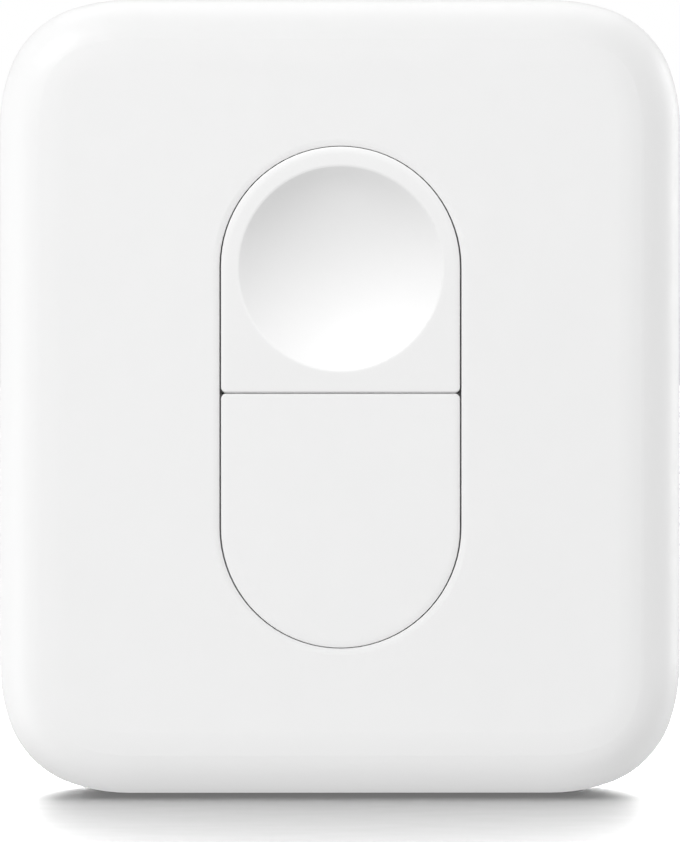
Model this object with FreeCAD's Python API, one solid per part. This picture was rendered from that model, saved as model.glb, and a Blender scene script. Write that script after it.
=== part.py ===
# Two-button pocket remote control, standing on its bottom edge.
#
# Millimetres. +X is to the right as the buttons are seen, the front face looks along -Y and +Z is up.
# The origin is the middle of the bottom edge, half way through the thickness.
import FreeCAD, Part
import math
import os

V = FreeCAD.Vector

# Outside of the body
overall_width = 36.9
overall_height = 43.0
corner_radius = 5.4           # middle stretch of each corner
corner_blend_radius = 10.0    # softer stretches either side of it
corner_blend_angle = 18.0     # degrees that each softer stretch turns
front_edge_radius = 2.7
front_blend_radius = 6.0      # softer stretch where the front edge meets the face
rear_edge_radius = 1.9
rear_blend_radius = 4.0
edge_blend_angle = 12.0       # degrees that each softer stretch turns
wall = 1.3

# Opening and the two button caps
opening_width = 13.06
opening_height = 27.14
opening_edge_radius = 0.07
opening_blend_radius = 1.0    # softer stretch where the opening's edge meets the face
opening_blend_angle = 18.0    # degrees that this stretch turns
button_gap = 0.075            # beside the caps
button_end_gap = 0.035        # above the upper cap and below the lower one
split_gap = 0.035             # between the caps
split_rise = 0.22             # the line between the caps, above the middle of the opening
cap_edge_radius = 0.12
cap_roll_width = 0.36         # where each cap's face starts to roll over, in from all but its split edge
cap_roll_radius = 1.4
cap_corner_radius = 0.3       # corners of the caps where they meet each other
dish_diameter = 11.1
dish_depth = 1.4
dish_drop = 0.07              # its middle, below the middle of the cap's round end
dish_wall = 1.1
dish_rim_radius = 0.25
flange_width = 0.9
flange_thickness = 0.8
flange_clearance = 0.05
skirt_wall = 1.1
rib_thickness = 0.8
rib_recess = 0.4              # from the back of the flange to the back of the ribs
nub_diameter = 2.2
nub_length = 0.2              # behind the dish
button_travel = 0.3
stop_gap = 0.3                # what a pressed cap still has behind it
guide_pin_diameter = 1.0
guide_pin_clearance = 0.05
guide_pin_from_split = 1.3

# Tactile switches
switch_height = 1.6           # board to the top of the plunger
switch_body_size = 4.5
switch_body_height = 1.1
switch_floor = 0.3
switch_wall = 0.4
switch_cover_thickness = 0.15
switch_cover_tab_width = 1.2
plunger_diameter = 2.3
plunger_flange_diameter = 3.1
plunger_flange_thickness = 0.22
plunger_clearance = 0.06
plunger_lift = 0.03           # flange to the steel cover above it
dome_diameter = 3.3
dome_thickness = 0.06
terminal_width = 0.7
terminal_thickness = 0.12
terminal_reach = 0.7
switch_window_clearance = 0.3

# Guide plate behind the caps
guide_side_gap = 0.6          # from the caps' flange to the plate's side rails
guide_rail_width = 1.4
guide_end_margin = 0.5        # past the flange, above and below
guide_corner_radius = 0.6
guide_peg_diameter = 1.0
peg_clearance = 0.05

# Circuit board and what is on it
board_thickness = 0.8
board_clearance = 0.3         # from the board's edge to the inside wall
component_gap = 0.3           # from the guide plate to the column of components
chip_size = 5.0
chip_height = 0.85
crystal_length = 3.2
crystal_width = 1.5
crystal_height = 0.7
crystal_corner_radius = 0.3
crystal_gap = 0.75            # chip to crystal
passive_length = 1.0
passive_width = 0.5
passive_height = 0.5
passive_pitch = 1.3
passive_count = 6
led_length = 1.6
led_width = 0.8
led_height = 0.6
led_gap = 0.3                 # above the guide plate
led_pocket_diameter = 2.4
led_window_thickness = 0.5
antenna_trace_width = 0.45
antenna_trace_thickness = 0.05
antenna_pitch = 1.2
antenna_turns = 7
antenna_gap = 0.3             # from the indicator below and from the board's edge above
test_pad_diameter = 1.1
test_pad_thickness = 0.05
test_pad_pitch = 1.7
test_pad_count = 5
test_window_margin = 0.5

# Coin cell, its tray and its contacts
cell_diameter = 24.5
cell_thickness = 5.0
cell_can_wall = 0.3
cell_can_edge_radius = 0.5
cell_gasket_thickness = 0.35
cell_cap_step = 0.3           # how far the negative cap stands proud of the can
cell_cap_wall = 0.25
cell_room = 0.55              # board to cell
cell_clearance = 0.2          # cell to tray, all round
cell_end_clearance = 0.05
tray_thickness = 1.2
tray_ledge_width = 1.2
tray_ledge_thickness = 0.5
tray_ring_wall = 1.35
tray_ring_height = 4.6        # board to the ring's rim
tray_finger_slot = 10.0
contact_thickness = 0.15
contact_gap = 0.03
contact_slot_clearance = 0.4
positive_contact_width = 4.0
positive_contact_reach = 3.2  # board to the contact's tip
positive_contact_foot = 2.2
positive_contact_lip = 0.6
negative_contact_width = 3.0
negative_contact_reach = 6.5
negative_contact_foot = 1.95
negative_contact_crest = 1.3  # from the middle to where each finger touches the cell
negative_contact_sag = 0.15   # between the two crests, above the foot

# Screws that clamp the tray and the board to the front shell
boss_diameter = 3.6
screw_diameter = 1.4
screw_hole_clearance = 0.1
screw_length = 4.2
screw_head_diameter = 2.6
screw_head_height = 0.85
screw_head_edge_radius = 0.28
screw_recess_width = 0.35
screw_recess_length = 1.5
screw_recess_depth = 0.45
screw_tip_gap = 0.3
pilot_clearance = 0.01

# Rear cover and the way it clips on
rear_cover_depth = 2.6
seam_gap = 0.06
seam_edge_radius = 0.15
tongue_thickness = 0.6
tongue_height = 1.0
tongue_clearance = 0.06
tongue_end_gap = 0.1
bead_length = 5.0
bead_radius = 0.2
bead_clearance = 0.05
bead_spread = 7.0             # from the middle to the beads on the top and bottom edges
pry_notch_width = 6.0
pry_notch_depth = 0.8
cover_rib_thickness = 0.8
cover_rib_height = 1.2
cover_rib_gap = 2.1           # beside the tray's ring

# Working values
bite = 0.3                    # how deep joined features reach into each other
past = 1.0                    # how far cuts run past what they cut
match = 1e-4                  # what counts as equal

# Planes from front to back
button_room = dish_depth + dish_wall + nub_length + switch_height - wall
overall_depth = (2 * wall + button_room + board_thickness + cell_room
                 + cell_thickness + cell_end_clearance)
front_y = -overall_depth / 2
rear_y = overall_depth / 2
inner_front_y = front_y + wall
board_front_y = inner_front_y + button_room
board_back_y = board_front_y + board_thickness
cell_front_y = board_back_y + cell_room
cell_back_y = cell_front_y + cell_thickness
inner_rear_y = rear_y - wall
seam_y = rear_y - rear_cover_depth
cover_rim_y = seam_y + seam_gap
flange_front_y = inner_front_y + flange_clearance
flange_back_y = flange_front_y + flange_thickness
guide_front_y = flange_back_y + button_travel + stop_gap
pin_end_y = board_front_y - button_travel - stop_gap
plunger_top_y = board_front_y - switch_height
switch_top_y = board_front_y - switch_body_height
switch_lid_back_y = switch_top_y + switch_cover_thickness
plunger_flange_y = switch_lid_back_y + plunger_lift
dome_apex_y = plunger_flange_y + plunger_flange_thickness
switch_floor_y = board_front_y - switch_floor
tray_back_y = board_back_y + tray_thickness
screw_head_y = tray_back_y + screw_head_height

# Places across and up
half_width = overall_width / 2
half_height = overall_height / 2
middle_z = half_height
split_z = middle_z + split_rise
opening_radius = opening_width / 2
arc_offset = opening_height / 2 - opening_radius
upper_arc_z = middle_z + arc_offset
lower_arc_z = middle_z - arc_offset
blend = math.radians(corner_blend_angle)
corner_softening = corner_blend_radius - corner_radius
corner_inset = corner_blend_radius - corner_softening * math.cos(blend)
corner_reach = corner_inset + corner_softening * math.sin(blend)
boss_x = half_width - corner_inset
boss_z = half_height - corner_inset
guide_half_width = opening_radius + flange_width + guide_side_gap + guide_rail_width
guide_half_height = opening_height / 2 + flange_width + guide_end_margin
component_x = guide_half_width + component_gap + chip_size / 2
led_z = middle_z + guide_half_height + led_gap + led_width / 2
board_top_z = overall_height - wall - board_clearance
tray_well_radius = cell_diameter / 2 + cell_clearance
tray_ring_radius = tray_well_radius + tray_ring_wall
cover_rib_z = tray_ring_radius + cover_rib_gap + cover_rib_thickness / 2

FRONT = V(0, -1, 0)
BACK = V(0, 1, 0)


def box(x0, x1, y0, y1, z0, z1):
    """A block between two corners, given in any order."""
    corner = V(min(x0, x1), min(y0, y1), min(z0, z1))
    return Part.makeBox(abs(x1 - x0), abs(y1 - y0), abs(z1 - z0), corner)


def rod(diameter, x, z, y0, y1):
    """A round bar that runs front to back."""
    return Part.makeCylinder(diameter / 2, y1 - y0, V(x, y0, z), BACK)


def joined(first, *others):
    """One solid made of overlapping ones."""
    return first.fuse(list(others)).removeSplitter()


def edges_at_y(shape, y):
    """Edges that lie wholly in the plane at y."""
    return [edge for edge in shape.Edges
            if abs(edge.BoundBox.YMin - y) < match and abs(edge.BoundBox.YMax - y) < match]


def edges_along_y(shape, length):
    """Straight edges of a given length that run front to back."""
    return [edge for edge in shape.Edges
            if abs(edge.BoundBox.YLength - length) < match and abs(edge.Length - length) < match]


def on_arc(centre, radius, degrees, y):
    """A point of a circle that faces the front, at an angle from +X towards +Z."""
    angle = math.radians(degrees)
    return V(centre[0] + radius * math.cos(angle), y, centre[1] + radius * math.sin(angle))


def arc(centre, radius, start, turn, y):
    """An edge that follows such a circle."""
    return Part.Arc(on_arc(centre, radius, start, y), on_arc(centre, radius, start + turn / 2, y),
                    on_arc(centre, radius, start + turn, y)).toShape()


def corner_arcs():
    """The outline's twelve arcs, from the right side upwards, as centre, radius, start and turn."""
    middle_turn = 90 - 2 * corner_blend_angle
    arcs = []
    for quarter, (sign_x, sign_z) in enumerate([(1, 1), (-1, 1), (-1, -1), (1, -1)]):
        beside_side = (sign_x * (half_width - corner_blend_radius),
                       middle_z + sign_z * (half_height - corner_reach))
        beside_end = (sign_x * (half_width - corner_reach),
                      middle_z + sign_z * (half_height - corner_blend_radius))
        middle = (sign_x * boss_x, middle_z + sign_z * boss_z)
        first, last = (beside_side, beside_end) if quarter % 2 == 0 else (beside_end, beside_side)
        start = 90.0 * quarter
        arcs.append((first, corner_blend_radius, start, corner_blend_angle))
        arcs.append((middle, corner_radius, start + corner_blend_angle, middle_turn))
        arcs.append((last, corner_blend_radius, start + 90 - corner_blend_angle, corner_blend_angle))
    return arcs


def outline_wire(inset, y):
    """The body's outline, drawn in by inset, in the plane at y."""
    arcs = corner_arcs()
    edges = []
    for i, (centre, radius, start, turn) in enumerate(arcs):
        edges.append(arc(centre, radius - inset, start, turn, y))
        if i % 3 == 2:
            next_centre, next_radius, next_start, _ = arcs[(i + 1) % len(arcs)]
            edges.append(Part.LineSegment(on_arc(centre, radius - inset, start + turn, y),
                                          on_arc(next_centre, next_radius - inset, next_start, y)).toShape())
    return Part.Wire(edges)


def outline_prism(inset, y0, y1):
    """A straight block with the body's outline, drawn in by inset."""
    return Part.Face(outline_wire(inset, y0)).extrude(V(0, y1 - y0, 0))


def edge_profile(inset, face_y, inward, big, small, blend_angle):
    """The rounding from a flat face to a wall, as two arcs of three points: distance in, and y.

    inward is 1 for the front, whose face has the lower y, and -1 for the rear. The big arc turns by
    blend_angle and the small one by the rest.
    """
    soft = math.radians(blend_angle)
    softening = big - small
    big_centre = (small + softening * math.sin(soft), face_y + inward * big)
    small_centre = (small, face_y + inward * (big - softening * math.cos(soft)))

    def at(centre, radius, slope):
        return (centre[0] - (radius - inset) * math.sin(slope),
                centre[1] - inward * (radius - inset) * math.cos(slope))

    half_way = (soft + math.pi / 2) / 2
    return [[at(big_centre, big, slope) for slope in (0, soft / 2, soft)],
            [at(small_centre, small, slope) for slope in (soft, half_way, math.pi / 2)]]


def rounded_body(inset):
    """The whole outer form, or its parallel inside at a wall thickness of inset."""
    front = edge_profile(inset, front_y, 1, front_blend_radius, front_edge_radius, edge_blend_angle)
    rear = edge_profile(inset, rear_y, -1, rear_blend_radius, rear_edge_radius, edge_blend_angle)
    stretches = front + [[front[1][-1], rear[1][-1]]] + rear

    def section(stretch, centre, radius, degrees):
        points = [on_arc(centre, radius - n, degrees, y) for n, y in stretch]
        curve = Part.Arc(*points) if len(points) == 3 else Part.LineSegment(*points)
        return curve.toShape()

    arcs = corner_arcs()
    faces = [Part.Face(outline_wire(*front[0][0])), Part.Face(outline_wire(*rear[0][0]))]
    for i, (centre, radius, start, turn) in enumerate(arcs):
        axis_point = V(centre[0], 0, centre[1])
        for stretch in stretches:
            faces += section(stretch, centre, radius, start).revolve(axis_point, FRONT, turn).Faces
        if i % 3 == 2:
            next_centre, next_radius, next_start, _ = arcs[(i + 1) % len(arcs)]
            side = on_arc(next_centre, next_radius, next_start, 0) - on_arc(centre, radius, start + turn, 0)
            for stretch in stretches:
                faces += section(stretch, centre, radius, start + turn).extrude(side).Faces
    shell = Part.Shell(faces)
    shell.sewShape()
    solid = Part.Solid(shell)
    return solid if solid.Volume > 0 else solid.reversed()


def capsule_prism(inset, y0, y1, reach=0):
    """A block with the opening's outline, two half rounds joined by straight sides, drawn in by inset.

    Its half rounds stand further apart than the opening's by reach at each end.
    """
    r = opening_radius - inset
    top = (0, upper_arc_z + reach)
    low = (0, lower_arc_z - reach)
    wire = Part.Wire([arc(top, r, 0, 180, y0),
                      Part.LineSegment(on_arc(top, r, 180, y0), on_arc(low, r, 180, y0)).toShape(),
                      arc(low, r, 180, 180, y0),
                      Part.LineSegment(on_arc(low, r, 0, y0), on_arc(top, r, 0, y0)).toShape()])
    return Part.Face(wire).extrude(V(0, y1 - y0, 0))


def opening_lip(side, z):
    """Section, at one side, of what rounds the opening's edge over into the face."""
    arcs = edge_profile(0, front_y, 1, opening_blend_radius, opening_edge_radius, opening_blend_angle)
    roll, turn = [[V(side * (opening_radius + n), y, z) for n, y in points] for points in arcs]
    foot = turn[-1] - V(side * bite, 0, 0)
    above_y = front_y - past
    corners = [turn[-1], foot, V(foot.x, above_y, z), V(roll[0].x, above_y, z), roll[0]]
    sides = [Part.LineSegment(first, second).toShape() for first, second in zip(corners, corners[1:])]
    return Part.Face(Part.Wire([Part.Arc(*roll).toShape(), Part.Arc(*turn).toShape()] + sides))


def opening_hollow():
    """What the opening takes away: a straight passage whose edge rolls over into the face."""
    passage = capsule_prism(0, front_y - past, inner_front_y + past)
    upper = opening_lip(1, upper_arc_z).revolve(V(0, 0, upper_arc_z), FRONT, 180)
    lower = opening_lip(-1, lower_arc_z).revolve(V(0, 0, lower_arc_z), FRONT, 180)
    beside = [opening_lip(side, lower_arc_z).extrude(V(0, 0, upper_arc_z - lower_arc_z)) for side in (-1, 1)]
    return joined(passage, upper, lower, *beside)


def cap_roll_section(side, z):
    """Section, at one side, of what rolls a cap's face over towards its edge."""
    edge_x = opening_radius - button_gap
    full_turn = math.asin((cap_roll_width + bite) / cap_roll_radius)
    roll = [V(side * (edge_x - cap_roll_width + cap_roll_radius * math.sin(turn)),
              front_y + cap_roll_radius * (1 - math.cos(turn)), z)
            for turn in (0, full_turn / 2, full_turn)]
    above_y = front_y - past
    corners = [roll[-1], V(roll[-1].x, above_y, z), V(roll[0].x, above_y, z), roll[0]]
    sides = [Part.LineSegment(first, second).toShape() for first, second in zip(corners, corners[1:])]
    return Part.Face(Part.Wire([Part.Arc(*roll).toShape()] + sides))


def cap_roll(side):
    """What rolls the face of a cap over, round its end and down its sides."""
    centre_z = (upper_arc_z if side > 0 else lower_arc_z) + side * (button_gap - button_end_gap)
    end = cap_roll_section(side, centre_z).revolve(V(0, 0, centre_z), FRONT, 180)
    beside = [cap_roll_section(sign, centre_z).extrude(V(0, 0, split_z - side * past - centre_z))
              for sign in (-1, 1)]
    return joined(end, *beside)


def half_capsule(side, inset, split_inset, y0, y1, reach=0):
    """The part of the capsule above (side 1) or below (side -1) the split, short of it by split_inset."""
    limit = split_z + side * (split_gap / 2 + split_inset)
    keep = box(-overall_width, overall_width, y0, y1, limit, limit + side * overall_height)
    return capsule_prism(inset, y0, y1, reach).common(keep)


def seat_points():
    """Where the four screws and their bosses stand: the middles of the body's corners."""
    return [(sign_x * boss_x, middle_z + sign_z * boss_z) for sign_x in (-1, 1) for sign_z in (-1, 1)]


def guide_pin_points(side):
    """The three guide pins of a cap: two beside the split and one at the far end."""
    track = opening_radius - button_gap - skirt_wall / 2
    beside = split_z + side * guide_pin_from_split
    end = middle_z + side * (arc_offset + track)
    return [(-track, beside), (track, beside), (0, end)]


def guide_peg_points():
    """Two pegs half way up the guide plate's side rails."""
    x = guide_half_width - guide_rail_width / 2
    return [(-x, middle_z), (x, middle_z)]


def test_pad_points():
    """Pads for loading the firmware, in a row between the lower screws."""
    first = -test_pad_pitch * (test_pad_count - 1) / 2
    return [(first + test_pad_pitch * i, middle_z - boss_z) for i in range(test_pad_count)]


def snap_beads(grow):
    """Round beads along the outside of the tongue: one on each side, two at the top and at the bottom."""
    r = bead_radius + grow
    y = seam_y + tongue_height / 2
    inset = wall - tongue_thickness
    half = bead_length / 2 + grow
    beads = []
    for sign in (-1, 1):
        x = sign * (half_width - inset)
        beads.append(Part.makeCylinder(r, 2 * half, V(x, y, middle_z - half), V(0, 0, 1)))
        for z in (inset, overall_height - inset):
            beads.append(Part.makeCylinder(r, 2 * half, V(sign * bead_spread - half, y, z), V(1, 0, 0)))
    return beads


def body_between(y0, y1):
    """A slice of the outer form."""
    return rounded_body(0).common(box(-overall_width, overall_width, y0, y1, -past, overall_height + past))


def front_shell():
    """The one-piece front and side walls, with bosses and the tongue that the rear cover slides over."""
    skin = body_between(front_y - past, seam_y)
    skin = skin.makeFillet(seam_edge_radius, edges_at_y(skin, seam_y))
    tongue_y = seam_y + tongue_height
    tongue = outline_prism(wall - tongue_thickness, seam_y - bite, tongue_y)
    tongue = tongue.cut(outline_prism(wall, seam_y - bite, tongue_y))
    shell = joined(skin.cut(rounded_body(wall)), tongue)
    shell = shell.cut(opening_hollow())
    bosses = [rod(boss_diameter, x, z, inner_front_y - bite, board_front_y) for x, z in seat_points()]
    shell = joined(shell, *bosses, *snap_beads(0))
    pilot_end_y = tray_back_y - screw_length - screw_tip_gap
    for x, z in seat_points():
        shell = shell.cut(rod(screw_diameter + 2 * pilot_clearance, x, z, pilot_end_y, board_front_y))
    window_y = front_y + led_window_thickness
    return shell.cut(rod(led_pocket_diameter, 0, led_z, window_y, inner_front_y + past))


def rear_cover():
    """The clip-on back, with a groove that takes the tongue and a notch for a fingernail."""
    skin = body_between(cover_rim_y, rear_y + past)
    skin = skin.makeFillet(seam_edge_radius, edges_at_y(skin, cover_rim_y))
    cover = skin.cut(rounded_body(wall))
    groove_inset = wall - tongue_thickness - tongue_clearance
    cover = cover.cut(outline_prism(groove_inset, seam_y, seam_y + tongue_height + tongue_end_gap))
    cover = cover.cut(snap_beads(bead_clearance))
    cover = cover.cut(box(-pry_notch_width / 2, pry_notch_width / 2, seam_y, cover_rim_y + pry_notch_depth,
                          -past, groove_inset + bite))
    ribs = [box(-boss_x, boss_x, inner_rear_y - cover_rib_height, inner_rear_y + bite,
                z - cover_rib_thickness / 2, z + cover_rib_thickness / 2)
            for z in (middle_z - cover_rib_z, middle_z + cover_rib_z)]
    return joined(cover, *ribs)


def cap_blank(side):
    """A button cap with neither dish nor ribs: plate, skirt, stop flange and guide pins."""
    plate = half_capsule(side, button_gap, 0, front_y, flange_front_y + bite, button_gap - button_end_gap)
    split_corners = [edge for edge in edges_along_y(plate, flange_front_y + bite - front_y)
                     if abs(edge.CenterOfMass.z - split_z) < split_gap]
    plate = plate.makeFillet(cap_corner_radius, split_corners)
    plate = plate.makeFillet(cap_edge_radius, edges_at_y(plate, front_y))
    plate = plate.cut(cap_roll(side))
    flange = half_capsule(side, -flange_width, 0, flange_front_y, flange_back_y)
    hollow = half_capsule(side, button_gap + skirt_wall, skirt_wall, inner_front_y, flange_back_y)
    pins = [rod(guide_pin_diameter, x, z, flange_front_y, pin_end_y) for x, z in guide_pin_points(side)]
    return joined(joined(plate, flange).cut(hollow), *pins)


def inside_skirt(side, y0, y1):
    """The space inside a cap's skirt, grown a little so that what fills it joins the skirt."""
    return half_capsule(side, button_gap + skirt_wall - bite, skirt_wall - bite, y0, y1)


def dish_hollow(sphere_radius, centre):
    """What the dish takes away: a spherical cap whose rim rounds over into the face."""
    ball_radius = sphere_radius + dish_rim_radius
    ball_rise = front_y + dish_rim_radius - centre.y
    ball = V(math.sqrt(ball_radius ** 2 - ball_rise ** 2), front_y + dish_rim_radius, centre.z)
    touch = centre + (ball - centre).normalize() * sphere_radius
    crest = ball + FRONT * dish_rim_radius
    beside_crest = ball + (FRONT + (centre - ball).normalize()).normalize() * dish_rim_radius
    above_crest = crest + FRONT * past
    above_middle = V(0, above_crest.y, centre.z)
    level_middle = V(0, touch.y, centre.z)
    outline = Part.Wire([Part.Arc(touch, beside_crest, crest).toShape(),
                         Part.LineSegment(crest, above_crest).toShape(),
                         Part.LineSegment(above_crest, above_middle).toShape(),
                         Part.LineSegment(above_middle, level_middle).toShape(),
                         Part.LineSegment(level_middle, touch).toShape()])
    mouth = Part.Face(outline).revolve(level_middle, FRONT, 360)
    # The sphere's axis lies across the remote, which keeps its poles out of the dish
    bowl = Part.makeSphere(sphere_radius, centre, V(1, 0, 0))
    bowl = bowl.common(box(-half_width, half_width, touch.y, rear_y, 0, overall_height))
    return mouth.fuse(bowl)


def upper_button():
    """The dished cap. A thicker patch behind the dish carries the nub that presses the switch."""
    rim_radius = dish_diameter / 2
    sphere_radius = (rim_radius ** 2 + dish_depth ** 2) / (2 * dish_depth)
    centre = V(0, front_y + dish_depth - sphere_radius, upper_arc_z - dish_drop)
    backing = Part.makeSphere(sphere_radius + dish_wall, centre)
    backing = backing.common(inside_skirt(1, inner_front_y - bite, plunger_top_y))
    nub = rod(nub_diameter, 0, upper_arc_z, front_y + dish_depth + bite, plunger_top_y)
    return joined(cap_blank(1), backing, nub).cut(dish_hollow(sphere_radius, centre))


def lower_button():
    """The flat cap, stiffened by a cross of ribs that carries the nub."""
    rib_back_y = flange_back_y - rib_recess
    inside = inside_skirt(-1, inner_front_y - bite, rib_back_y)
    half = rib_thickness / 2
    upright = box(-half, half, front_y, rear_y, 0, overall_height).common(inside)
    level = box(-half_width, half_width, front_y, rear_y, lower_arc_z - half, lower_arc_z + half)
    level = level.common(inside)
    nub = rod(nub_diameter, 0, lower_arc_z, inner_front_y - bite, plunger_top_y)
    return joined(cap_blank(-1), upright, level, nub)


def guide_plate():
    """Keeps the caps square: rails against the front wall, holes for the pins, pegs through the board."""
    slab = box(-guide_half_width, guide_half_width, guide_front_y, board_front_y,
               middle_z - guide_half_height, middle_z + guide_half_height)
    slab = slab.makeFillet(guide_corner_radius, edges_along_y(slab, board_front_y - guide_front_y))
    rails = [box(sign * guide_half_width, sign * (guide_half_width - guide_rail_width), inner_front_y,
                 guide_front_y + bite, middle_z - opening_height / 2, middle_z + opening_height / 2)
             for sign in (-1, 1)]
    pegs = [rod(guide_peg_diameter, x, z, board_front_y - bite, board_back_y) for x, z in guide_peg_points()]
    plate = joined(slab, *rails, *pegs)
    window_z = switch_body_size / 2 + switch_window_clearance
    window_x = window_z + terminal_reach
    for z in (upper_arc_z, lower_arc_z):
        plate = plate.cut(box(-window_x, window_x, guide_front_y, board_front_y, z - window_z, z + window_z))
    pin_hole_diameter = guide_pin_diameter + 2 * guide_pin_clearance
    for x, z in guide_pin_points(1) + guide_pin_points(-1):
        plate = plate.cut(rod(pin_hole_diameter, x, z, guide_front_y, board_front_y))
    return plate


def circuit_board():
    """The board, with holes for the screws and the guide plate's pegs."""
    board = outline_prism(wall + board_clearance, board_front_y, board_back_y)
    for x, z in seat_points():
        board = board.cut(rod(screw_diameter + 2 * screw_hole_clearance, x, z, board_front_y, board_back_y))
    for x, z in guide_peg_points():
        board = board.cut(rod(guide_peg_diameter + 2 * peg_clearance, x, z, board_front_y, board_back_y))
    return board


def switch_base(z):
    """The switch's moulded cup."""
    half = switch_body_size / 2
    inner = half - switch_wall
    cup = box(-half, half, switch_lid_back_y, board_front_y, z - half, z + half)
    return cup.cut(box(-inner, inner, switch_lid_back_y, switch_floor_y, z - inner, z + inner))


def switch_cover(z):
    """The steel lid, with a hole for the plunger and two tabs that fold down the sides."""
    half = switch_body_size / 2
    tab = switch_cover_tab_width / 2
    lid = box(-half, half, switch_top_y, switch_lid_back_y, z - half, z + half)
    tabs = [box(-tab, tab, switch_top_y, switch_floor_y, z + sign * half,
                z + sign * (half + switch_cover_thickness)) for sign in (-1, 1)]
    hole = rod(plunger_diameter + 2 * plunger_clearance, 0, z, switch_top_y, switch_lid_back_y)
    return joined(lid, *tabs).cut(hole)


def switch_plunger(z):
    """The round plunger and the flange that the lid holds in."""
    stem = rod(plunger_diameter, 0, z, plunger_top_y, dome_apex_y)
    return joined(stem, rod(plunger_flange_diameter, 0, z, plunger_flange_y, dome_apex_y))


def switch_dome(z):
    """The sprung metal disc that clicks and pushes the plunger back."""
    rise = switch_floor_y - dome_apex_y
    rim_radius = dome_diameter / 2
    sphere_radius = (rim_radius ** 2 + rise ** 2) / (2 * rise)
    centre = V(0, dome_apex_y + sphere_radius, z)
    disc = Part.makeSphere(sphere_radius, centre)
    disc = disc.cut(Part.makeSphere(sphere_radius - dome_thickness, centre))
    return disc.common(box(-half_width, half_width, dome_apex_y - past, switch_floor_y, 0, overall_height))


def switch_terminals(z):
    """Four soldered legs, two a side."""
    half = switch_body_size / 2
    top_y = board_front_y - terminal_thickness
    return Part.makeCompound([box(sign_x * half, sign_x * (half + terminal_reach), top_y, board_front_y,
                                  z + sign_z * half, z + sign_z * (half - terminal_width))
                              for sign_x in (-1, 1) for sign_z in (-1, 1)])


def on_board(x, z, length, width, height):
    """A block soldered to the board's front."""
    return box(x - length / 2, x + length / 2, board_front_y - height, board_front_y,
               z - width / 2, z + width / 2)


def bluetooth_chip():
    """The radio chip, a flat square package beside the guide plate."""
    return on_board(component_x, middle_z, chip_size, chip_size, chip_height)


def timing_crystal():
    """The metal-lidded crystal above the chip."""
    z = middle_z + chip_size / 2 + crystal_gap + crystal_width / 2
    can = on_board(component_x, z, crystal_length, crystal_width, crystal_height)
    return can.makeFillet(crystal_corner_radius, edges_along_y(can, crystal_height))


def status_led():
    """The indicator, behind the thinned spot of the front wall."""
    return on_board(0, led_z, led_length, led_width, led_height)


def passive_column(x, first_z, step):
    """A column of small two-ended components."""
    return Part.makeCompound([on_board(x, first_z + step * i, passive_length, passive_width, passive_height)
                              for i in range(passive_count)])


def chip_capacitors():
    """Capacitors below the chip."""
    return passive_column(component_x, middle_z - chip_size / 2 - passive_pitch, -passive_pitch)


def chip_resistors():
    """Resistors on the other side of the guide plate."""
    return passive_column(-component_x, middle_z + passive_pitch, passive_pitch)


def antenna_trace():
    """The printed meander along the board's top edge."""
    half = antenna_trace_width / 2
    high = board_top_z - antenna_gap - half
    low = led_z + led_width / 2 + antenna_gap + half
    y0 = board_front_y - antenna_trace_thickness
    strips = []
    for i in range(2 * antenna_turns + 1):
        x = antenna_pitch * (i - antenna_turns)
        strips.append(box(x - half, x + half, y0, board_front_y, low - half, high + half))
        if i < 2 * antenna_turns:
            z = high if i % 2 == 0 else low
            strips.append(box(x, x + antenna_pitch, y0, board_front_y, z - half, z + half))
    return joined(*strips)


def test_pads():
    """The gilded pads."""
    return Part.makeCompound([rod(test_pad_diameter, x, z, board_back_y, board_back_y + test_pad_thickness)
                              for x, z in test_pad_points()])


def strip(points, place, width):
    """A bent strip of sheet metal: its section follows points, placed in space, and width is a vector."""
    half = contact_thickness / 2
    parts = []
    for (a0, b0), (a1, b1) in zip(points, points[1:]):
        length = math.hypot(a1 - a0, b1 - b0)
        across = ((b0 - b1) / length * half, (a1 - a0) / length * half)
        corners = [place(a0 + across[0], b0 + across[1]), place(a1 + across[0], b1 + across[1]),
                   place(a1 - across[0], b1 - across[1]), place(a0 - across[0], b0 - across[1])]
        parts.append(Part.Face(Part.makePolygon(corners + corners[:1])).extrude(width))
    for a, b in points[1:-1]:
        parts.append(Part.makeCylinder(half, width.Length, place(a, b), width))
    return joined(*parts)


def positive_contact():
    """The upright spring that presses on the side of the cell's can."""
    half = contact_thickness / 2
    can_top_z = middle_z + cell_diameter / 2
    touch_z = can_top_z + contact_gap + half
    stem_z = can_top_z + cell_clearance + contact_thickness
    foot_y = board_back_y + half
    tip_y = board_back_y + positive_contact_reach
    points = [(foot_y, stem_z + positive_contact_foot), (foot_y, stem_z),
              (tip_y - positive_contact_lip, touch_z), (tip_y, stem_z)]
    width = positive_contact_width
    return strip(points, lambda y, z: V(-width / 2, y, z), V(width, 0, 0))


def negative_contact():
    """Two fingers that rise from the board to the cell's small pole."""
    half = contact_thickness / 2
    foot_y = board_back_y + half
    touch_y = cell_front_y - contact_gap - half
    right = [(negative_contact_crest, touch_y), (negative_contact_reach - negative_contact_foot, foot_y),
             (negative_contact_reach, foot_y)]
    left = [(-x, y) for x, y in reversed(right)]
    points = left + [(0, foot_y + negative_contact_sag)] + right
    width = negative_contact_width
    return strip(points, lambda x, y: V(x, y, middle_z - width / 2), V(0, 0, width))


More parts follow.
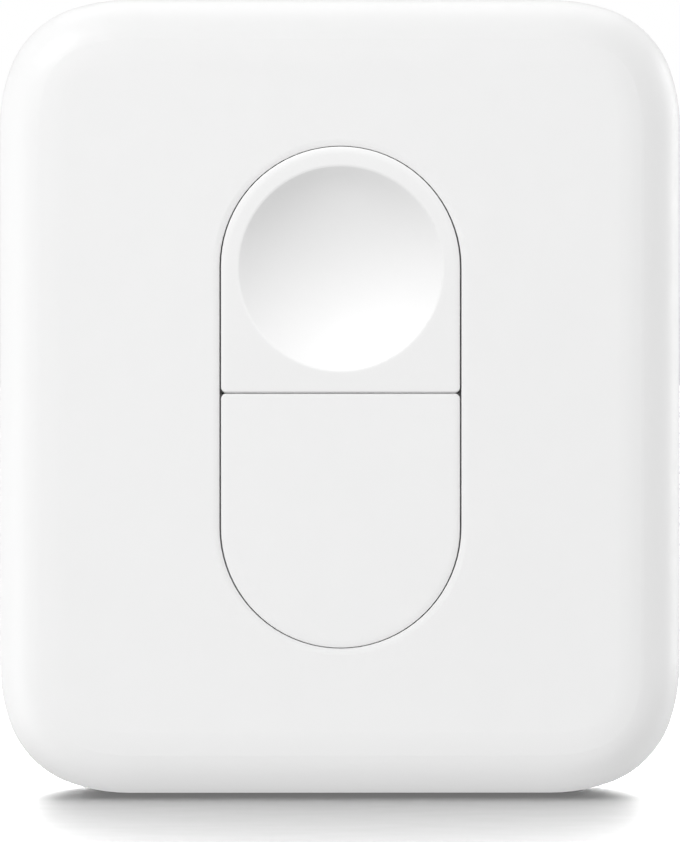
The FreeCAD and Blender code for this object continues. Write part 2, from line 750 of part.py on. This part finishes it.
def battery_tray():
    """The plate over the board, with a ring that holds the coin cell and holes for the screws."""
    ring_y = board_back_y + tray_ring_height
    plate = outline_prism(wall + board_clearance, board_back_y, tray_back_y)
    tray = joined(plate, rod(2 * tray_ring_radius, 0, middle_z, board_back_y, ring_y))
    tray = tray.cut(rod(2 * tray_well_radius, 0, middle_z, board_back_y + tray_ledge_thickness, ring_y))
    tray = tray.cut(rod(cell_diameter - 2 * tray_ledge_width, 0, middle_z, board_back_y, ring_y))
    slot = tray_finger_slot / 2
    tray = tray.cut(box(-half_width, half_width, tray_back_y, ring_y, middle_z - slot, middle_z + slot))
    gate_x = positive_contact_width / 2 + contact_slot_clearance
    gate_top_z = (middle_z + tray_well_radius + contact_thickness + positive_contact_foot
                  + contact_slot_clearance)
    tray = tray.cut(box(-gate_x, gate_x, board_back_y, ring_y, middle_z, gate_top_z))
    for x, z in seat_points():
        tray = tray.cut(rod(screw_diameter + 2 * screw_hole_clearance, x, z, board_back_y, tray_back_y))
    pads = test_pad_points()
    reach = test_pad_diameter / 2 + test_window_margin
    return tray.cut(box(pads[0][0] - reach, pads[-1][0] + reach, board_back_y, tray_back_y,
                        pads[0][1] - reach, pads[0][1] + reach))


def tray_screws():
    """Four pan-head screws with cross recesses."""
    long_half = screw_recess_length / 2
    short_half = screw_recess_width / 2
    recess_y = screw_head_y - screw_recess_depth
    screws = []
    for x, z in seat_points():
        head = rod(screw_head_diameter, x, z, tray_back_y, screw_head_y)
        head = head.makeFillet(screw_head_edge_radius, edges_at_y(head, screw_head_y))
        screw = joined(head, rod(screw_diameter, x, z, tray_back_y - screw_length, tray_back_y + bite))
        for across, up in ((long_half, short_half), (short_half, long_half)):
            screw = screw.cut(box(x - across, x + across, recess_y, screw_head_y, z - up, z + up))
        screws.append(screw)
    return Part.makeCompound(screws)


def cell_can():
    """The cell's steel can, the positive pole, open towards the board."""
    rim_y = cell_front_y + cell_cap_step
    can = rod(cell_diameter, 0, middle_z, rim_y, cell_back_y)
    can = can.makeFillet(cell_can_edge_radius, edges_at_y(can, cell_back_y))
    return can.cut(rod(cell_diameter - 2 * cell_can_wall, 0, middle_z, rim_y, cell_back_y - cell_can_wall))


def cell_gasket():
    """The sealing ring between the can and the negative cap."""
    outer = cell_diameter - 2 * cell_can_wall
    y0 = cell_front_y + cell_cap_step
    y1 = cell_back_y - cell_can_wall
    return rod(outer, 0, middle_z, y0, y1).cut(rod(outer - 2 * cell_gasket_thickness, 0, middle_z, y0, y1))


def cell_cap():
    """The negative cap, which stands a little proud of the can."""
    outer = cell_diameter - 2 * (cell_can_wall + cell_gasket_thickness)
    y1 = cell_back_y - cell_can_wall - cell_cap_wall
    cup = rod(outer, 0, middle_z, cell_front_y, y1)
    cup = cup.makeFillet(cell_cap_wall, edges_at_y(cup, cell_front_y))
    return cup.cut(rod(outer - 2 * cell_cap_wall, 0, middle_z, cell_front_y + cell_cap_wall, y1))


def cell_electrodes():
    """What the cell is filled with."""
    inner = cell_diameter - 2 * (cell_can_wall + cell_gasket_thickness + cell_cap_wall)
    return rod(inner, 0, middle_z, cell_front_y + cell_cap_wall, cell_back_y - cell_can_wall)


pieces = {make.__name__: make() for make in (
    front_shell, rear_cover, upper_button, lower_button, guide_plate, circuit_board, bluetooth_chip,
    timing_crystal, status_led, chip_capacitors, chip_resistors, antenna_trace, test_pads, positive_contact,
    negative_contact, battery_tray, tray_screws, cell_can, cell_gasket, cell_cap, cell_electrodes)}
for name, z in (("upper", upper_arc_z), ("lower", lower_arc_z)):
    for make in (switch_base, switch_cover, switch_plunger, switch_dome, switch_terminals):
        pieces[name + "_" + make.__name__] = make(z)

os.makedirs("parts", exist_ok=True)
for name, shape in pieces.items():
    shape.exportStep("parts/" + name + ".step")
    state = "valid" if shape.isValid() else "NOT VALID"
    print(name, state, len(shape.Solids), round(shape.Volume, 3), "mm3")
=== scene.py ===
"""A two-button pocket remote, standing on its bottom edge, seen straight on in a white studio.

Metres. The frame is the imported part's own: +X to the right as the buttons are seen, +Z up, and the
front face looks along -Y.
"""

import math

import bpy
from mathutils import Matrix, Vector


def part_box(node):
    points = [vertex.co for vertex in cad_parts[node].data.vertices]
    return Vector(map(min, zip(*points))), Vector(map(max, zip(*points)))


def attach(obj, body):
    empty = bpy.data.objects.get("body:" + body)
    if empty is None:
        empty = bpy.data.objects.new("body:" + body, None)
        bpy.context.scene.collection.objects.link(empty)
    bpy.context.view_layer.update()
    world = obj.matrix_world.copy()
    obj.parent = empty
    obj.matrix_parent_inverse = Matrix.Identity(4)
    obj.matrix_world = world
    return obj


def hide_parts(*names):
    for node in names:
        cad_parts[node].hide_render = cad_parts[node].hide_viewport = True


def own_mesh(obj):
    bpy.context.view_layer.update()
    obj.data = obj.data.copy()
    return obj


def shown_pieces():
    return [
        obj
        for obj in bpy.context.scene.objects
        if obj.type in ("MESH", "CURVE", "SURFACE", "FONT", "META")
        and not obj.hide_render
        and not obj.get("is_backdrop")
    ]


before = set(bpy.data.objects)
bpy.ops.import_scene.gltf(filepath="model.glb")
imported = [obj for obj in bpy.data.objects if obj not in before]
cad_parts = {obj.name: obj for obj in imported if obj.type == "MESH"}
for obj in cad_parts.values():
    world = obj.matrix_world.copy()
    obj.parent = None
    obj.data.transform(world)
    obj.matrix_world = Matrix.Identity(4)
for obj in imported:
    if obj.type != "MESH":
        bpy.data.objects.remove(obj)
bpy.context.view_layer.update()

MM = 0.001
UM = 0.000001

# The photograph's frame, in its own pixels
image_height = 842
outline_pixels = 793.0        # the body's height in the photograph
outline_middle_row = 396.0    # from the top, where the body's middle is

# Camera
camera_distance = 0.6
camera_azimuth = -0.6         # degrees, to the left of straight on
camera_elevation = 0.9
outline_depth = 2.7 * MM      # behind the face, where the side walls become straight
sensor_size = 36.0
camera_clip_start = 0.01
camera_clip_end = 20

body_low, body_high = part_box("front_shell")
body_middle_z = (body_low.z + body_high.z) / 2
body_height = body_high.z - body_low.z

# Floor: dark of its own, so that it shows a shadow and a soft mirror image; its lights make it pale
floor_half_width = 4.0
floor_colour = (0.07, 0.07, 0.07)
floor_roughness = 0.42
floor_gloss = 0.1

# Lights, each with its place, width, height and power in watts. All of them face the remote's middle.
world_strength = 0.5
body_lights = (
    ("key", (-0.2, -0.25, 0.28), 0.12, 0.12, 0.738),
    ("front_fill", (0, -0.6, 0.1), 0.3, 0.3, 0.59),
    ("left_fill", (-0.3, -0.05, -0.05), 0.2, 0.2, 0.215),
    ("right_fill", (0.3, -0.05, 0.08), 0.2, 0.2, 0.132),
    ("left_edge", (-0.25, 0.2, -0.02), 0.25, 0.25, 0.155),
    ("right_edge", (0.3, 0.15, 0.08), 0.2, 0.2, 0.466),
    ("top_edge", (0, 0.13, 0.33), 0.3, 0.3, 0.37),
    ("table_front", (0, -0.3, -0.15), 0.3, 0.3, 0.13),
    ("table_under", (0, -0.05, -0.3), 0.3, 0.3, 0.185),
)
dished_cap_lights = (
    ("cap_key", (-0.1, -0.2, 0.32), 0.12, 0.12, 1.235),
    ("cap_low", (0, -0.3, -0.2), 0.2, 0.2, 0.25),
)
floor_lights = (
    ("floor_wall", (0, 1.5, 0.02), 4.0, 2.4, 490),
    ("floor_roof", (0, 1.2, 1.8), 4.0, 1.6, 78),
    ("floor_front", (0, -1.5, 0.02), 4.0, 2.4, 60),
    ("floor_left", (-2.2, 0, 0.02), 4.0, 2.4, 60),
    ("floor_right", (2.2, 0, 0.02), 4.0, 2.4, 60),
    ("floor_strip", (0, 0.32, 0.38), 0.035, 0.12, 2.46),
    ("floor_middle_strip", (0, 0.21, 0.45), 0.035, 0.12, 2.87),
    ("floor_high_strip", (0, 0.087, 0.492), 0.035, 0.12, 6.0),
    ("floor_top_strip", (0, 0.05, 0.497), 0.035, 0.06, 8.56),
)

# Materials
white = (0.8, 0.8, 0.8)
tin = (0.62, 0.62, 0.58)
noise_low = 0.3               # most of a noise's values lie between these two
noise_high = 0.7
cell_low, cell_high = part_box("cell_can")
cell_middle = (cell_low + cell_high) / 2


class Finish:
    """A node material in the making: one Principled shader and the nodes that feed it."""

    def __init__(self, name, colour, roughness, metallic=0.0):
        self.material = bpy.data.materials.new(name)
        self.material.use_nodes = True
        self.tree = self.material.node_tree
        self.tree.nodes.clear()
        self.colour = colour
        self.roughness = roughness
        self.height = None
        output = self.add("ShaderNodeOutputMaterial")
        self.shader = self.add("ShaderNodeBsdfPrincipled")
        self.shader.inputs["Base Color"].default_value = (*colour, 1)
        self.shader.inputs["Roughness"].default_value = roughness
        self.shader.inputs["Metallic"].default_value = metallic
        self.link(self.shader.outputs["BSDF"], output.inputs["Surface"])
        self.place = self.add("ShaderNodeTexCoord").outputs["Object"]

    def add(self, kind, **settings):
        """A new node with these attributes."""
        node = self.tree.nodes.new(kind)
        for name, value in settings.items():
            setattr(node, name, value)
        return node

    def link(self, source, target):
        """Feeds one socket from another."""
        self.tree.links.new(source, target)

    def scaled(self, place, factors, shift=(0, 0, 0)):
        """A place, moved by shift and then stretched along each axis."""
        move = self.add("ShaderNodeVectorMath", operation="ADD")
        stretch = self.add("ShaderNodeVectorMath", operation="MULTIPLY")
        move.inputs[1].default_value = shift
        stretch.inputs[1].default_value = factors
        self.link(place, move.inputs[0])
        self.link(move.outputs["Vector"], stretch.inputs[0])
        return stretch.outputs["Vector"]

    def distance(self, point, axes):
        """How far from a point, measured along some of the axes only."""
        length = self.add("ShaderNodeVectorMath", operation="LENGTH")
        self.link(self.scaled(self.place, axes, -Vector(point)), length.inputs[0])
        return length.outputs["Value"]

    def noise(self, size, detail=2, place=None):
        """Cloudy noise whose patches are about size across."""
        noise = self.add("ShaderNodeTexNoise")
        noise.inputs["Scale"].default_value = 1 / size
        noise.inputs["Detail"].default_value = detail
        self.link(place or self.place, noise.inputs["Vector"])
        return noise.outputs["Fac"]

    def cells(self, size, randomness, distance):
        """Irregular cells, about size across, that run straight through the part's thickness."""
        cells = self.add("ShaderNodeTexVoronoi", distance=distance, feature="F1")
        cells.inputs["Scale"].default_value = 1 / size
        cells.inputs["Randomness"].default_value = randomness
        self.link(self.scaled(self.place, (1, 0, 1)), cells.inputs["Vector"])
        return cells.outputs

    def between(self, value, low, high, start=noise_low, end=noise_high):
        """A value from start to end, spread over low to high."""
        spread = self.add("ShaderNodeMapRange")
        for name, number in (("From Min", start), ("From Max", end), ("To Min", low), ("To Max", high)):
            spread.inputs[name].default_value = number
        self.link(value, spread.inputs["Value"])
        return spread.outputs["Result"]

    def product(self, first, second):
        """Two values multiplied."""
        node = self.add("ShaderNodeMath", operation="MULTIPLY")
        self.link(first, node.inputs[0])
        self.link(second, node.inputs[1])
        return node.outputs["Value"]

    def blend(self, factor, first, second):
        """From one colour to another by factor. Each is a socket or three numbers."""
        mix = self.add("ShaderNodeMix", data_type="RGBA")
        self.link(factor, mix.inputs["Factor"])
        # The node's sockets for colours go by number, as those for other kinds have the same names.
        first_socket, second_socket, result = mix.inputs[6], mix.inputs[7], mix.outputs[2]
        for socket, colour in ((first_socket, first), (second_socket, second)):
            if isinstance(colour, bpy.types.NodeSocket):
                self.link(colour, socket)
            else:
                socket.default_value = (*colour, 1)
        return result

    def paint(self, colour):
        """Colours the surface from a socket."""
        self.link(colour, self.shader.inputs["Base Color"])

    def shade(self, value, amount):
        """Lets the colour vary with a value, down to this much darker."""
        darker = tuple(channel * (1 - amount) for channel in self.colour)
        self.paint(self.blend(value, darker, self.colour))

    def roughen(self, value, amount):
        """Lets the roughness vary with a value, by this much either way."""
        spread = self.between(value, self.roughness - amount, self.roughness + amount)
        self.link(spread, self.shader.inputs["Roughness"])

    def raise_by(self, value, height):
        """Bumps of this height, on top of those already there."""
        bump = self.add("ShaderNodeBump")
        bump.inputs["Distance"].default_value = height
        self.link(value, bump.inputs["Height"])
        if self.height:
            self.link(self.height, bump.inputs["Normal"])
        self.height = bump.outputs["Normal"]
        self.link(self.height, self.shader.inputs["Normal"])


def moulded(name, colour, roughness, grain, depth, glow=0.0):
    """Moulded plastic: a fine spark-eroded grain, faint flow marks, and light that sinks in by glow."""
    finish = Finish(name, colour, roughness)
    flow = finish.noise(size=7 * MM, detail=3)
    finish.shade(flow, amount=0.012)
    finish.roughen(finish.noise(size=1.1 * MM, detail=4), amount=0.035)
    finish.raise_by(flow, height=6 * UM)
    finish.raise_by(finish.noise(grain, detail=3), depth)
    if glow:
        finish.shader.inputs["Subsurface Weight"].default_value = 0.35
        finish.shader.inputs["Subsurface Radius"].default_value = (1, 1, 1)
        finish.shader.inputs["Subsurface Scale"].default_value = glow
    return finish.material


def brushed(name, colour, roughness, along):
    """Metal with straight fine scratches along one axis."""
    scratch_width = 0.03 * MM
    scratch_slimness = 0.04       # its width over its length
    finish = Finish(name, colour, roughness, metallic=1.0)
    stretch = [scratch_slimness if axis == along else 1.0 for axis in "XYZ"]
    scratches = finish.noise(scratch_width, place=finish.scaled(finish.place, stretch))
    finish.shade(finish.noise(size=0.8 * MM, detail=3), amount=0.08)
    finish.roughen(finish.product(scratches, finish.noise(size=0.5 * MM)), amount=0.02)
    finish.raise_by(scratches, height=0.8 * UM)
    return finish.material


def plated(name, colour, roughness, blotch_size, dent):
    """Plated or tinned metal: a smooth skin that is faintly blotched and uneven."""
    finish = Finish(name, colour, roughness, metallic=1.0)
    blotches = finish.noise(blotch_size, detail=3)
    finish.shade(blotches, amount=0.1)
    finish.roughen(blotches, amount=0.06)
    finish.raise_by(finish.noise(size=0.25 * MM), dent)
    return finish.material


def turned(name, colour, roughness, middle):
    """Plated steel brushed in rings about an axis along Y, as the ends of a coin cell are."""
    finish = Finish(name, colour, roughness, metallic=1.0)
    ring_place = finish.add("ShaderNodeCombineXYZ")
    finish.link(finish.distance(middle, (1, 0, 1)), ring_place.inputs["X"])
    drift = finish.noise(size=6 * MM, detail=1)
    finish.link(finish.between(drift, 0, 0.1 * MM), ring_place.inputs["Y"])
    rings = finish.noise(size=0.05 * MM, detail=3, place=ring_place.outputs["Vector"])
    finish.shade(finish.noise(size=3 * MM, detail=3), amount=0.07)
    finish.roughen(rings, amount=0.07)
    finish.raise_by(rings, height=1.2 * UM)
    return finish.material


def fired(name, colour, speckle, roughness, node):
    """Fired ceramic with fine speckles, and tinned ends on a row of chips that all lie along X."""
    tin_start = 0.55              # over half the row's length
    tin_full = 0.6
    finish = Finish(name, colour, roughness)
    grains = finish.noise(size=0.04 * MM)
    body = finish.blend(finish.between(grains, 0, 1, start=0.35, end=0.6), speckle, colour)
    low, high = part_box(node)
    half_length = (high.x - low.x) / 2
    from_middle = finish.distance((low + high) / 2, (1, 0, 0))
    ends = finish.between(from_middle, 0, 1, tin_start * half_length, tin_full * half_length)
    finish.paint(finish.blend(ends, body, tin))
    finish.link(ends, finish.shader.inputs["Metallic"])
    finish.roughen(finish.noise(size=0.3 * MM), amount=0.06)
    finish.raise_by(grains, height=2 * UM)
    finish.raise_by(ends, height=15 * UM)
    return finish.material


def package(name, colour, roughness, node):
    """A moulded chip package, with the round dimple that marks its first pin."""
    mark_inset = 0.8 * MM
    finish = Finish(name, colour, roughness)
    low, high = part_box(node)
    mark = (low.x + mark_inset, low.y, high.z - mark_inset)
    from_mark = finish.distance(mark, (1, 1, 1))
    outside = finish.between(from_mark, 0, 1, start=0.3 * MM, end=0.34 * MM)
    paler = tuple(channel * 3 for channel in colour)
    finish.paint(finish.blend(outside, paler, colour))
    finish.roughen(finish.noise(size=0.5 * MM, detail=3), amount=0.06)
    finish.raise_by(outside, height=40 * UM)
    finish.raise_by(finish.noise(size=0.05 * MM, detail=3), height=4 * UM)
    return finish.material


def solder_mask(name, colour, roughness):
    """Green mask over glass fibre: patches of raised tracks, tinned through-holes and a faint weave."""
    track_size = 2.4 * MM
    track_pitch = 0.09            # over the size
    hole_spacing = 3.1 * MM
    hole_radius = 0.075           # over the spacing
    hole_rim = 0.09
    finish = Finish(name, colour, roughness)
    finish.shader.inputs["Coat Weight"].default_value = 0.3
    finish.shader.inputs["Coat Roughness"].default_value = 0.2
    cells = finish.cells(track_size, randomness=0.9, distance="CHEBYCHEV")
    steps = finish.add("ShaderNodeMath", operation="PINGPONG")
    finish.link(cells["Distance"], steps.inputs[0])
    steps.inputs[1].default_value = track_pitch
    lines = finish.between(steps.outputs["Value"], 0, 1, start=0.055, end=0.065)
    patches = finish.between(cells["Color"], 0, 1, start=0.5, end=0.51)
    tracks = finish.product(lines, patches)
    holes = finish.cells(hole_spacing, randomness=0.75, distance="EUCLIDEAN")
    rings = finish.between(holes["Distance"], 1, 0, start=hole_radius, end=hole_rim)
    weave = finish.add("ShaderNodeTexWave", wave_type="BANDS", bands_direction="DIAGONAL")
    weave.inputs["Scale"].default_value = 1 / (0.9 * MM)
    finish.link(finish.place, weave.inputs["Vector"])
    lighter = tuple(channel * 1.45 for channel in colour)
    masked = finish.blend(tracks, colour, lighter)
    finish.paint(finish.blend(rings, masked, tin))
    finish.link(rings, finish.shader.inputs["Metallic"])
    finish.roughen(finish.noise(size=1.5 * MM), amount=0.04)
    finish.raise_by(tracks, height=18 * UM)
    finish.raise_by(rings, height=12 * UM)
    finish.raise_by(weave.outputs["Fac"], height=1.5 * UM)
    return finish.material


def pressed_powder(name, colour, roughness):
    """Grey pressed powder, crumbly up close."""
    finish = Finish(name, colour, roughness)
    crumbs = finish.noise(size=0.12 * MM, detail=5)
    finish.shade(crumbs, amount=0.4)
    finish.roughen(finish.noise(size=0.4 * MM), amount=0.08)
    finish.raise_by(crumbs, height=25 * UM)
    return finish.material


def floor_sheet(name, colour, roughness, gloss):
    """A plain satin sheet, which mirrors the remote softly at this low angle."""
    finish = Finish(name, colour, roughness)
    finish.shader.inputs["Specular IOR Level"].default_value = gloss
    finish.shade(finish.noise(size=60 * MM), amount=0.01)
    finish.roughen(finish.noise(size=3 * MM), amount=0.008)
    finish.raise_by(finish.noise(size=1.5 * MM, detail=4), height=1 * UM)
    return finish.material


def make_finishes():
    """The finish of every material slot of the part."""
    return {
        "white_shell": moulded(
            "satin_white", white, roughness=0.42, grain=0.09 * MM, depth=1.2 * UM, glow=0.3 * MM),
        "white_caps": moulded(
            "satin_white_caps", white, roughness=0.40, grain=0.09 * MM, depth=1.0 * UM, glow=0.3 * MM),
        "guide_plastic": moulded(
            "natural_acetal", (0.74, 0.74, 0.71), roughness=0.36, grain=0.06 * MM, depth=0.8 * UM,
            glow=0.6 * MM),
        "tray_plastic": moulded(
            "grained_black", (0.032, 0.032, 0.035), roughness=0.5, grain=0.16 * MM, depth=9 * UM),
        "board_laminate": solder_mask("green_mask", (0.012, 0.09, 0.045), roughness=0.32),
        "chip_epoxy": package(
            "moulded_epoxy", (0.022, 0.022, 0.024), roughness=0.55, node="bluetooth_chip"),
        "crystal_lid": brushed("crystal_lid", (0.66, 0.65, 0.62), roughness=0.3, along="X"),
        "led_body": moulded(
            "milky_resin", (0.80, 0.76, 0.60), roughness=0.18, grain=0.3 * MM, depth=1 * UM,
            glow=0.5 * MM),
        "capacitor_ceramic": fired(
            "tan_ceramic", (0.42, 0.29, 0.17), speckle=(0.30, 0.19, 0.10), roughness=0.45,
            node="chip_capacitors"),
        "resistor_body": fired(
            "black_glaze", (0.018, 0.018, 0.022), speckle=(0.05, 0.05, 0.055), roughness=0.25,
            node="chip_resistors"),
        "antenna_copper": plated(
            "bare_copper", (0.72, 0.38, 0.22), roughness=0.34, blotch_size=1.2 * MM, dent=2 * UM),
        "pad_gold": plated(
            "thin_gold", (0.83, 0.60, 0.24), roughness=0.24, blotch_size=0.6 * MM, dent=1.5 * UM),
        "contact_spring": brushed("spring_steel", (0.62, 0.60, 0.55), roughness=0.26, along="Y"),
        "screw_steel": plated(
            "zinc_plate", (0.48, 0.49, 0.52), roughness=0.36, blotch_size=0.7 * MM, dent=5 * UM),
        "switch_moulding": moulded(
            "glass_filled_nylon", (0.03, 0.03, 0.032), roughness=0.46, grain=0.07 * MM, depth=5 * UM),
        "switch_steel": brushed("stamped_steel", (0.62, 0.62, 0.61), roughness=0.3, along="Z"),
        "plunger_moulding": moulded(
            "natural_nylon", (0.72, 0.70, 0.62), roughness=0.4, grain=0.05 * MM, depth=2 * UM,
            glow=0.3 * MM),
        "solder_legs": plated(
            "tinned_legs", (0.62, 0.62, 0.60), roughness=0.3, blotch_size=0.4 * MM, dent=8 * UM),
        "cell_steel": turned("ringed_nickel", (0.52, 0.52, 0.53), roughness=0.3, middle=cell_middle),
        "cell_seal": moulded(
            "black_rubber", (0.02, 0.02, 0.022), roughness=0.7, grain=0.05 * MM, depth=4 * UM),
        "cell_filling": pressed_powder("pressed_powder", (0.06, 0.06, 0.065), roughness=0.85),
    }


def dress_nodes():
    """Gives each node of the part its slot's finish."""
    finishes = make_finishes()
    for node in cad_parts.values():
        slot = node.material_slots[0]
        slot.material = finishes[slot.material.name]


def spring_domes():
    """The two switch domes, as pieces of their own that copy their nodes' meshes, fixed to the housing
    in the nodes' places.
    """
    for switch in ("upper", "lower"):
        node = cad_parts[switch + "_switch_dome"]
        dome = bpy.data.objects.new(switch + "_sprung_dome", node.data.copy())
        bpy.context.scene.collection.objects.link(dome)
        dome.matrix_world = node.matrix_world
        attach(dome, "housing")
        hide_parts(node.name)
        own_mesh(dome)


def make_camera():
    """Level and straight on, but for a degree: a little above the body's middle and to its left."""
    data = bpy.data.cameras.new("camera")
    camera = bpy.data.objects.new("camera", data)
    bpy.context.scene.collection.objects.link(camera)
    aim = Vector((0, body_low.y + outline_depth, body_middle_z))
    azimuth = math.radians(camera_azimuth)
    elevation = math.radians(camera_elevation)
    back = Vector((math.sin(azimuth) * math.cos(elevation), -math.cos(azimuth) * math.cos(elevation),
                   math.sin(elevation)))
    camera.location = aim + camera_distance * back
    camera.rotation_euler = (-back).to_track_quat("-Z", "Y").to_euler()
    data.sensor_width = sensor_size
    data.lens = sensor_size * outline_pixels / body_height * camera_distance / image_height
    data.shift_y = (outline_middle_row - (image_height - 1) / 2) / image_height
    data.clip_start = camera_clip_start
    data.clip_end = camera_clip_end
    bpy.context.scene.camera = camera


def group(name, pieces):
    """A set of pieces that a light shines on."""
    pieces_lit = bpy.data.collections.new(name)
    for piece in pieces:
        pieces_lit.objects.link(piece)
    return pieces_lit


def softbox(name, place, width, height, power, lit):
    """A flat soft light that faces the remote's middle and shines on one set of pieces."""
    data = bpy.data.lights.new(name, "AREA")
    data.shape = "RECTANGLE"
    data.size = width
    data.size_y = height
    data.energy = power
    light = bpy.data.objects.new(name, data)
    bpy.context.scene.collection.objects.link(light)
    light.location = place
    aim = Vector((0, 0, body_middle_z)) - light.location
    light.rotation_euler = aim.to_track_quat("-Z", "Y").to_euler()
    light.light_linking.receiver_collection = lit
    light.visible_camera = False


def make_world(strength):
    """White all round: the camera sees pure white, and the light that it gives is set by strength."""
    world = bpy.data.worlds.new("studio")
    bpy.context.scene.world = world
    world.use_nodes = True
    tree = world.node_tree
    tree.nodes.clear()
    output = tree.nodes.new("ShaderNodeOutputWorld")
    seen = tree.nodes.new("ShaderNodeBackground")
    light = tree.nodes.new("ShaderNodeBackground")
    path = tree.nodes.new("ShaderNodeLightPath")
    mix = tree.nodes.new("ShaderNodeMixShader")
    for background, value in ((seen, 1.0), (light, strength)):
        background.inputs["Color"].default_value = (1, 1, 1, 1)
        background.inputs["Strength"].default_value = value
    tree.links.new(path.outputs["Is Camera Ray"], mix.inputs["Fac"])
    tree.links.new(light.outputs["Background"], mix.inputs[1])
    tree.links.new(seen.outputs["Background"], mix.inputs[2])
    tree.links.new(mix.outputs["Shader"], output.inputs["Surface"])


def make_floor():
    """A wide pale floor."""
    half = floor_half_width
    mesh = bpy.data.meshes.new("floor")
    mesh.from_pydata([(-half, -half, 0), (half, -half, 0), (half, half, 0), (-half, half, 0)], [],
                     [(0, 1, 2, 3)])
    floor = bpy.data.objects.new("floor", mesh)
    bpy.context.scene.collection.objects.link(floor)
    mesh.materials.append(floor_sheet("floor_sheet", floor_colour, floor_roughness, floor_gloss))
    floor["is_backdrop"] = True
    return floor


def light_studio(floor):
    """A light table and soft light all round, with the key from the upper left.

    The dished cap has lights of its own, and so has the floor, which neither lights or shades the
    remote nor shows in it.
    """
    floor.visible_diffuse = False
    floor.visible_glossy = False
    floor.visible_shadow = False
    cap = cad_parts["upper_button"]
    body = group("lit_body", [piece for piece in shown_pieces() if piece != cap])
    dished_cap = group("lit_dished_cap", [cap])
    ground = group("lit_floor", [floor])
    make_world(world_strength)
    for lights, lit in ((body_lights, body), (dished_cap_lights, dished_cap), (floor_lights, ground)):
        for name, place, width, height, power in lights:
            softbox(name, place, width, height, power, lit)


dress_nodes()
spring_domes()
light_studio(make_floor())
make_camera()
bpy.context.scene.view_settings.view_transform = "Standard"
